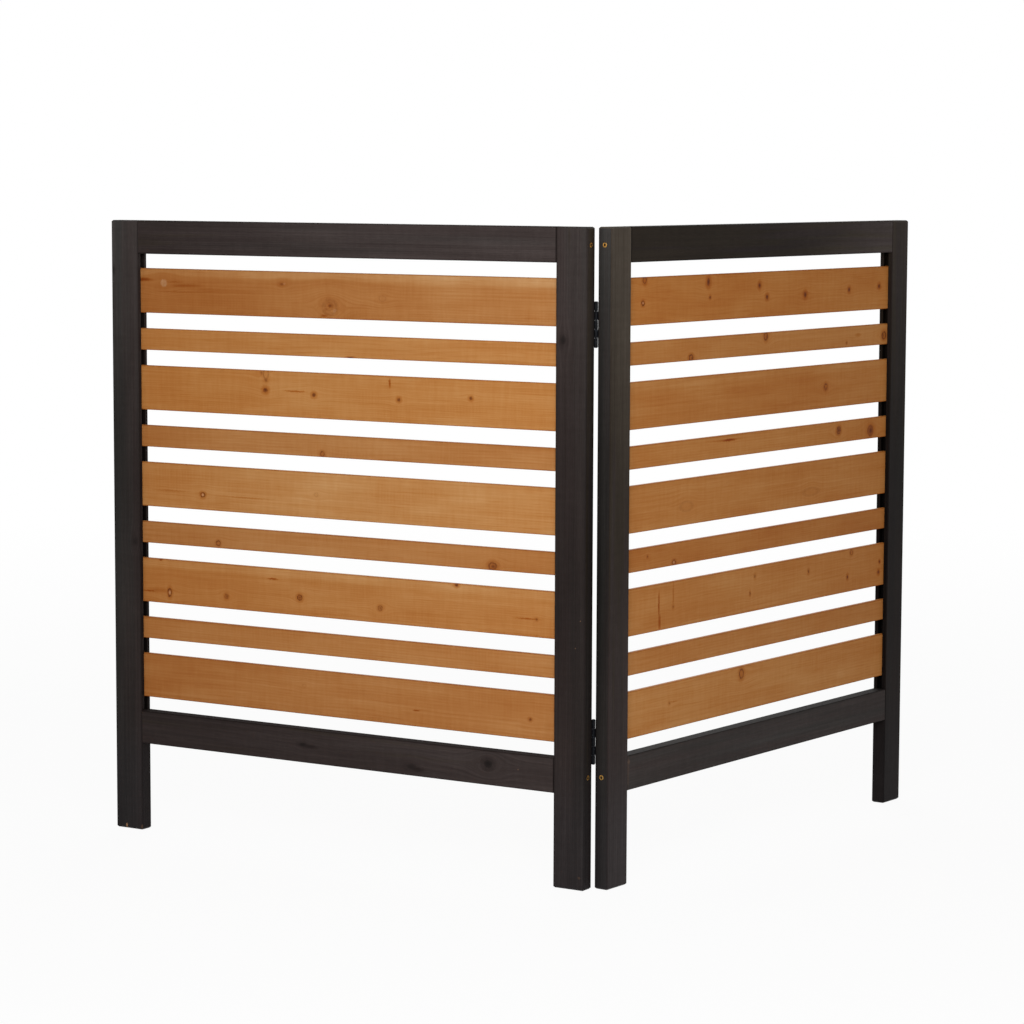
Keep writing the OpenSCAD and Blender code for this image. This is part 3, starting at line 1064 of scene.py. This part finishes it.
# How much stain lies on each slat; the change from end to end is partly painted shade, the left slats darker
# towards their far ends.
SLAT_COATS_AND_SHADE: dict[str, CoatAndShade] = {
    "left_slat_1": CoatAndShade(0.99, 1.07, 1.22, 0.00, 0.19),
    "left_slat_2": CoatAndShade(0.92, 0.93, 1.00, 0.70),
    "left_slat_3": CoatAndShade(0.93, 0.91, 1.02, 0.85),
    "left_slat_4": CoatAndShade(1.04, 0.95, 1.08, 0.05),
    "left_slat_5": CoatAndShade(0.89, 0.84, 0.96, 0.60),
    "left_slat_6": CoatAndShade(1.08, 0.98, 1.04, 0.00),
    "left_slat_7": CoatAndShade(0.99, 0.97, 1.10, 0.55, 0.13),
    "left_slat_8": CoatAndShade(0.99, 0.99, 1.07, 0.15),
    "left_slat_9": CoatAndShade(1.04, 1.05, 1.16, 0.00),
    "right_slat_1": CoatAndShade(1.07, 1.07, 1.01, 1.00),
    "right_slat_2": CoatAndShade(1.03, 0.97, 0.98, 0.75),
    "right_slat_3": CoatAndShade(1.01, 1.09, 1.03, 0.80, 0.09),
    "right_slat_4": CoatAndShade(1.00, 0.96, 1.05, 0.90),
    "right_slat_5": CoatAndShade(0.99, 0.99, 1.02, 0.80),
    "right_slat_6": CoatAndShade(1.14, 1.08, 1.12, 0.55),
    "right_slat_7": CoatAndShade(1.01, 0.99, 1.03, 0.70),
    "right_slat_8": CoatAndShade(0.99, 1.01, 1.05, 0.50),
    "right_slat_9": CoatAndShade(0.91, 0.91, 0.97, 0.80),
}

# How the stain took on each frame board; the stiles' thinner coats towards their tops are painted light, and
# the darker edges painted shade.
FRAME_LOOKS: dict[str, FrameLook] = {
    "left_outer_stile": FrameLook(CoatAndShade(0.94, 0.93, 0.78), 0.2, 0.9, 0.0, 0.0),
    "left_hinge_stile": FrameLook(CoatAndShade(0.94, 1.01, 0.83), 0.4, 0.1, 0.0, 0.3, 0.04, 0.0, 0.3),
    "left_top_rail": FrameLook(CoatAndShade(0.77, 0.79, 0.90), 0.1, 0.2, 0.0, 0.4),
    "left_bottom_rail": FrameLook(CoatAndShade(0.83, 0.86, 0.93), 0.0, 0.2, 0.3, 0.3, shaded_upper_edge=0.13, matt=0.45),
    "right_outer_stile": FrameLook(CoatAndShade(1.12, 1.25, 0.87), 0.3, 0.3, 0.2, 0.6, foot_side_shade=0.02),
    "right_hinge_stile": FrameLook(CoatAndShade(0.82, 0.93, 0.69), 0.1, 0.0, 0.1, 1.0, 0.09, 0.6, -1.2),
    "right_top_rail": FrameLook(CoatAndShade(1.05, 1.03, 0.77), 0.1, 0.1, 0.8, 0.4),
    "right_bottom_rail": FrameLook(
        CoatAndShade(0.81, 0.82, 0.87), 0.4, 0.5, 0.0, 0.0, shaded_upper_edge=0.34, seam=0.0, matt=0.07),
}


@dataclass
class Panel:
    """One panel of the screen: a frame of four boards with nine slats and their fixings."""

    side: Side
    fold: Fold
    nodes: dict[str, bpy.types.Object]
    slat_count: int = 9
    frame_stain: FrameStain = field(default_factory=FrameStain)
    slat_stain: SlatStain = field(default_factory=SlatStain)
    screw_zinc: ScrewZinc = field(default_factory=ScrewZinc)

    def build(self, metals: "Metals") -> None:
        """Dresses every piece of the panel.

        Args:
            metals: The finishes of the fixings.
        """
        rails = [self._board(piece, Grain.LEVEL) for piece in ("bottom_rail", "top_rail")]
        levels = tuple(rail.middle.z for rail in rails)
        foot = rails[0].high.z
        for rail in rails:
            self._dress_frame(rail, 0, foot)
        for piece, inner in (("hinge_stile", 1), ("outer_stile", -1)):
            self._dress_frame(self._board(piece, Grain.UPRIGHT), inner, foot)
        for number in range(1, self.slat_count + 1):
            slat = self._board(f"slat_{number}", Grain.LEVEL)
            timber = self._timber("slat_stain", slat)
            dress(self.nodes[slat.name], self.slat_stain.paint(timber, SLAT_COATS_AND_SHADE[slat.name]))
        zinc = self.screw_zinc.paint(self.side, self.fold, levels, rails[0].middle.y)
        dress(self._piece("frame_screws"), zinc)
        dress(self._piece("frame_dowels"), metals.dowel_wood)
        dress(self._piece("slat_brads"), metals.bright_steel)

    def _dress_frame(self, board: Board, inner: int, foot: float) -> None:
        """Stains one board of the frame, told a stile's inner side, or 0 for a rail, and its foot."""
        timber = self._timber("frame_stain", board)
        dress(self.nodes[board.name], self.frame_stain.paint(timber, FRAME_LOOKS[board.name], inner, foot))

    def _timber(self, stain: str, board: Board) -> Timber:
        """Starts the material of a board with its grain."""
        shader = Shader.named(f"{stain}.{board.name}")
        return Timber(shader, board, self.fold, KNOTS.get(board.name, ()))

    def _piece(self, piece: str) -> bpy.types.Object:
        """Finds a piece of this panel by its short name."""
        return self.nodes[f"{self.side.value}_{piece}"]

    def _board(self, piece: str, grain: Grain) -> Board:
        """Measures a board of this panel."""
        return Board.of(f"{self.side.value}_{piece}", self.side, grain, self.fold, self._piece(piece))


class Metals:
    """The finishes that the fixings share."""

    def __init__(self) -> None:
        """Makes each finish once."""
        self.black_steel = Enamel().paint()
        steel = Plating("bright_steel", swatch(190, 190, 188), swatch(140, 140, 138), 0.35)
        self.bright_steel = steel.paint()
        self.dowel_wood = BareWood().paint()


@dataclass
class Hinge:
    """One butt hinge between the panels: two leaves, their screws and the pin."""

    level: str
    nodes: dict[str, bpy.types.Object]

    def build(self, metals: Metals) -> None:
        """Dresses every piece of the hinge."""
        for piece in ("left_leaf", "right_leaf", "left_leaf_screws", "right_leaf_screws", "hinge_pin"):
            dress(self.nodes[f"{self.level}_{piece}"], metals.black_steel)


@dataclass(frozen=True)
class Viewpoint:
    """Where the camera stands and looks, measured from the foot of the fold."""

    beside: float = -0.9904
    before: float = -4.4323
    height: float = 1.0324
    right_deg: float = 11.109
    down_deg: float = 6.126
    roll_deg: float = 0.207
    lens_mm: float = 112.81
    sensor_mm: float = 36.0
    sight: float = 200.0

    def build(self, fold: Fold) -> bpy.types.Object:
        """Sets up the camera.

        Args:
            fold: The fold of the screen.

        Returns:
            The camera.
        """
        bpy.ops.object.camera_add(location=(self.beside, fold.axis_y + self.before, self.height))
        camera = bpy.context.object
        camera.name = "camera"
        turned = (Euler((0, 0, -math.radians(self.right_deg))).to_matrix()
                  @ Euler((math.radians(90 - self.down_deg), 0, 0)).to_matrix()
                  @ Euler((0, 0, math.radians(self.roll_deg))).to_matrix())
        camera.rotation_euler = turned.to_euler()
        camera.data.lens = self.lens_mm
        camera.data.sensor_width = self.sensor_mm
        camera.data.clip_end = self.sight
        bpy.context.scene.camera = camera
        return camera


@dataclass(frozen=True)
class Softbox:
    """A large soft lamp that faces the middle of the screen."""

    name: str
    place: Triple
    width: float
    height: float
    watts: float

    def build(self, target: Vector) -> None:
        """Hangs the lamp.

        Args:
            target: The point that it faces.
        """
        bpy.ops.object.light_add(type="AREA", location=self.place)
        lamp = bpy.context.object
        lamp.name = self.name
        lamp.data.shape = "RECTANGLE"
        lamp.data.size = self.width
        lamp.data.size_y = self.height
        lamp.data.energy = self.watts
        lamp.visible_camera = False
        lamp.rotation_euler = (target - Vector(self.place)).to_track_quat("-Z", "Y").to_euler()


@dataclass
class Studio:
    """Pale floor, white surroundings and soft lamps."""

    floor_half: float = 14.0
    ambient: float = 0.3
    floor_colour: Colour = (0.86, 0.86, 0.86)
    floor_white: float = 0.94
    fade_start: float = 1.2
    fade_end: float = 5.0
    target: Vector = field(default_factory=lambda: Vector((0.0, 0.0, 0.5)))
    lamps: tuple[Softbox, ...] = (
        Softbox("key_softbox", (-1.5, -3.2, 1.5), 1.4, 1.0, 24.0),
        Softbox("front_softbox", (-0.5, -2.6, 1.5), 1.4, 1.0, 30.0),
        Softbox("fill_softbox", (2.0, -3.2, 1.5), 1.4, 1.0, 6.0),
        Softbox("back_softbox", (0.3, 3.2, 2.4), 1.6, 1.1, 26.0),
    )

    def build(self) -> None:
        """Sets up the whole studio."""
        for lamp in self.lamps:
            lamp.build(self.target)
        self._light_surroundings()
        self._lay_floor()
        bpy.context.scene.view_settings.view_transform = "Standard"

    @staticmethod
    def _seen(shader: Shader) -> Value:
        """1 on the rays by which the camera sees, or sees in a reflection or through glass."""
        rays = [shader.node("ShaderNodeLightPath", {}, {}, ray)
                for ray in ("Is Camera Ray", "Is Glossy Ray", "Is Transmission Ray")]
        return rays[0].most(rays[1]).most(rays[2])

    def _light_surroundings(self) -> None:
        """Makes the surroundings white to look at and softer as a light."""
        shader = Shader(bpy.data.worlds.new("studio"))
        strength = self._seen(shader) * (1 - self.ambient) + self.ambient
        light = shader.node("ShaderNodeBackground", {}, {"Color": (1, 1, 1, 1), "Strength": strength})
        shader.node("ShaderNodeOutputWorld", {}, {"Surface": light})
        bpy.context.scene.world = shader.owner

    def _lay_floor(self) -> None:
        """Lays the floor, which keeps the shadow of the screen."""
        bpy.ops.mesh.primitive_plane_add(size=2 * self.floor_half)
        floor = bpy.context.object
        floor.name = "floor"
        shader = Shader.named("floor")
        away = shader.node("ShaderNodeVectorMath", {"operation": "LENGTH"}, {0: shader.place()}, "Value")
        far = away.rise(self.fade_start, self.fade_end)
        share = self._seen(shader) * (far * (1 - self.floor_white) + self.floor_white)
        matt = shader.node("ShaderNodeBsdfDiffuse", {}, {"Color": (*self.floor_colour, 1.0)})
        white = shader.node("ShaderNodeEmission", {}, {"Strength": 1.0})
        mixed = shader.node("ShaderNodeMixShader", {}, {0: share, 1: matt, 2: white})
        shader.node("ShaderNodeOutputMaterial", {}, {"Surface": mixed})
        dress(floor, shader.owner)


def main() -> None:
    """Dresses the screen and sets up the studio and the camera."""
    logging.basicConfig(level=logging.INFO, format="%(message)s")
    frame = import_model()
    bpy.ops.object.select_all(action="DESELECT")
    fold = Fold.of(frame["joints"][0])
    metals = Metals()
    for side in Side:
        Panel(side, fold, frame["nodes"]).build(metals)
    for level in ("upper", "lower"):
        Hinge(level, frame["nodes"]).build(metals)
    Studio().build()
    Viewpoint().build(fold)


if __name__ == "__main__":
    main()
